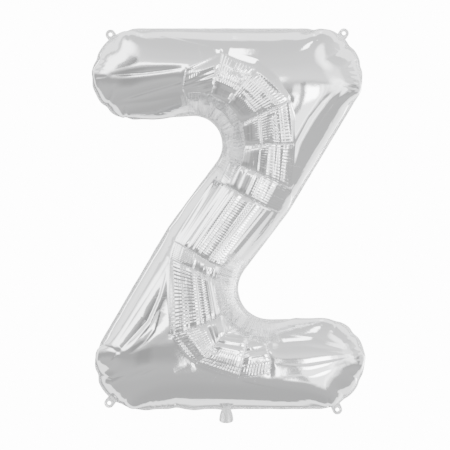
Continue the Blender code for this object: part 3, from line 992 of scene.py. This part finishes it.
def film_relief(nodes, place):
    """Height of the streaks, ribs, taut lines and sharp creases, from the marks on the film."""

    def mark(name):
        return nodes.add("ShaderNodeAttribute", attribute_name=name).outputs["Fac"]

    # Streaks that run along each straight part of the tube
    lanes = nodes.times(mark("tube_across"), STREAKS_ACROSS)
    part = nodes.times(mark("tube_part"), STREAK_CHANGE)
    lane = nodes.add("ShaderNodeCombineXYZ", {"X": lanes, "Y": part}).outputs["Vector"]
    streak = nodes.noise(lane, scale=1.0, detail=1.5, dimensions="2D")
    streak = nodes.times(nodes.math("SUBTRACT", streak, 0.5), mark("streaks"))
    # Fine ribs across it, outside the middle
    drift = nodes.noise(place, scale=26.0, detail=0.5)
    run = nodes.times(mark("tube_run"), math.tau / RIB_LENGTH)
    phase = nodes.times(drift, RIB_DRIFT, run)
    patchy = nodes.ramp(nodes.noise(place, scale=60.0, detail=2.0), *RIB_PATCHES)
    depth = nodes.times(mark("ribs"), patchy)
    wave = nodes.times(nodes.math("SINE", phase), depth)
    # Taut lines in the fan of each inner elbow
    lines = nodes.times(mark("fan_run"), TAUT_LINES)
    taut = nodes.math("SUBTRACT", nodes.noise(lines, scale=5.0, detail=1.0, dimensions="1D"), 0.5)
    taut = nodes.ramp(nodes.math("ABSOLUTE", taut), 0.0, TAUT_WIDTH, -1, 0)
    taut = nodes.times(taut, mark("fan"))
    # The sharp bottom of each crease
    notch = nodes.math("ABSOLUTE", mark("crease_side"))
    notch = nodes.ramp(notch, 0.0, CREASE_HALF_WIDTH, -1, 0)
    notch = nodes.times(notch, mark("crease"))
    height = nodes.times(notch, CREASE_HEIGHT)
    height = nodes.times(wave, RIB_HEIGHT, height)
    height = nodes.times(streak, STREAK_HEIGHT, height)
    return nodes.times(taut, TAUT_HEIGHT, height)


def foil_looks():
    made, shader, nodes, place = principled("mirror_foil", (0.93, 0.935, 0.945), 0.08, 1.0)
    grain = nodes.bump(nodes.noise(place, scale=90.0, detail=4.0), 0.05, 0.002)
    relief = nodes.bump(film_relief(nodes, place), 1.0, 1.0, grain)
    nodes.tree.links.new(relief, shader.inputs["Normal"])
    nodes.mottle(shader, place, scale=9.0, detail=3.0, roughness=0.08, spread=0.03)
    return made


def weld_looks():
    made, shader, nodes, place = principled("welded_foil", (0.88, 0.885, 0.89), 0.42, 1.0)
    grain = nodes.bump(nodes.noise(place, scale=400.0, detail=3.0), 0.10, 0.0006)
    nodes.tree.links.new(grain, shader.inputs["Normal"])
    return made


def mottled_looks(name, colour, roughness, **mottle):
    made, shader, nodes, place = principled(name, colour, roughness, 0.0)
    nodes.mottle(shader, place, roughness=roughness, **mottle)
    return made


def build_studio():
    """White backdrop, a room that is darker in front of the letter, and soft boxes in it."""
    world = bpy.data.worlds.new("studio")
    bpy.context.scene.world = world
    world.use_nodes = True
    nodes = Nodes(world.node_tree)
    way = nodes.add("ShaderNodeTexCoord").outputs["Generated"]
    split = nodes.add("ShaderNodeSeparateXYZ", {0: way})
    sideways, back, height = (split.outputs[axis] for axis in "XYZ")
    light = FRONT_LIGHT[0][1]
    for (low, first), (high, last) in zip(FRONT_LIGHT, FRONT_LIGHT[1:]):
        light = nodes.math("ADD", nodes.ramp(height, low, high, 0, last - first), light)
    for x, y, z, inner, outer, strength in SOFT_BOXES:
        gone, full = (math.cos(math.radians(angle)) for angle in (outer, inner))
        links = {0: way, 1: Vector((x, y, z)).normalized()}
        facing = nodes.add("ShaderNodeVectorMath", links, operation="DOT_PRODUCT")
        lobe = nodes.ramp(facing.outputs["Value"], gone, full, 0, strength)
        light = nodes.math("ADD", light, lobe)
    ahead = nodes.ramp(nodes.math("ABSOLUTE", back), 0.0, PANELS_FULL)
    for low, high, soft, lowest, highest, soft_height, left, added in PANELS:
        wide = nodes.band(sideways, low, high, soft)
        tall = nodes.band(height, lowest, highest, soft_height)
        panel = nodes.times(nodes.times(wide, tall), ahead)
        change = nodes.times(light, left - 1, added)
        light = nodes.times(change, panel, light)
    # The light behind starts farther back below the letter, and level with it
    below = nodes.ramp(height, BELOW_FROM, BELOW_TO, REAR_LATER_BELOW, 0)
    off_level = nodes.math("ABSOLUTE", height)
    beside = nodes.ramp(off_level, BESIDE_FROM, BESIDE_TO, REAR_LATER_BESIDE, 0)
    later = nodes.math("ADD", below, beside)
    rear = nodes.ramp(nodes.math("SUBTRACT", back, later), REAR_FROM, REAR_TO)
    rear = nodes.times(rear, nodes.ramp(back, REAR_END, REAR_GONE, REAR_SHARE, 0))
    light = nodes.times(nodes.math("SUBTRACT", REAR_LIGHT, light), rear, light)
    seen = nodes.add("ShaderNodeLightPath").outputs["Is Camera Ray"]
    light = nodes.times(nodes.math("SUBTRACT", BACKDROP_LIGHT, light), seen, light)
    background = world.node_tree.nodes["Background"]
    world.node_tree.links.new(light, background.inputs["Strength"])
    background.inputs["Color"].default_value = (1, 1, 1, 1)


def build_floor():
    """A round pale floor below the letter."""
    bpy.ops.mesh.primitive_circle_add(
        vertices=128, radius=FLOOR_RADIUS, fill_type="NGON", location=(0, 0, FLOOR_Z)
    )
    floor = bpy.context.object
    floor.name = "floor"
    looks = mottled_looks("pale_floor", (0.86, 0.86, 0.86), 0.7, scale=60, detail=3, spread=0.1)
    floor.data.materials.append(looks)
    floor.visible_glossy = False  # the film mirrors the studio's light alone


def place_camera():
    """Straight before the letter, with the photograph's frame in the letter's plane."""
    camera = bpy.data.objects.new("camera", bpy.data.cameras.new("camera"))
    bpy.context.scene.collection.objects.link(camera)
    middle = at_pixel(PHOTO_SIZE / 2, PHOTO_SIZE / 2)
    camera.location = (middle[0], -CAMERA_AWAY, middle[1])
    camera.rotation_euler = (math.pi / 2, 0, 0)
    camera.data.sensor_width = SENSOR
    camera.data.lens = SENSOR * CAMERA_AWAY / (PHOTO_SIZE * PIXEL)
    camera.data.clip_end = 100
    bpy.context.scene.camera = camera


def main():
    foil, weld = foil_looks(), weld_looks()
    build_films(foil)
    build_margin(weld)
    for name, corner, x, z in TABS:
        build_tab(name, corner, x, z, weld)
    build_neck(weld)
    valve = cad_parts["valve_film"]
    valve.data.materials.clear()
    looks = mottled_looks("valve_film", (0.86, 0.87, 0.88), 0.3, scale=500, detail=2, spread=0.08)
    valve.data.materials.append(looks)
    build_floor()
    build_studio()
    place_camera()


main()
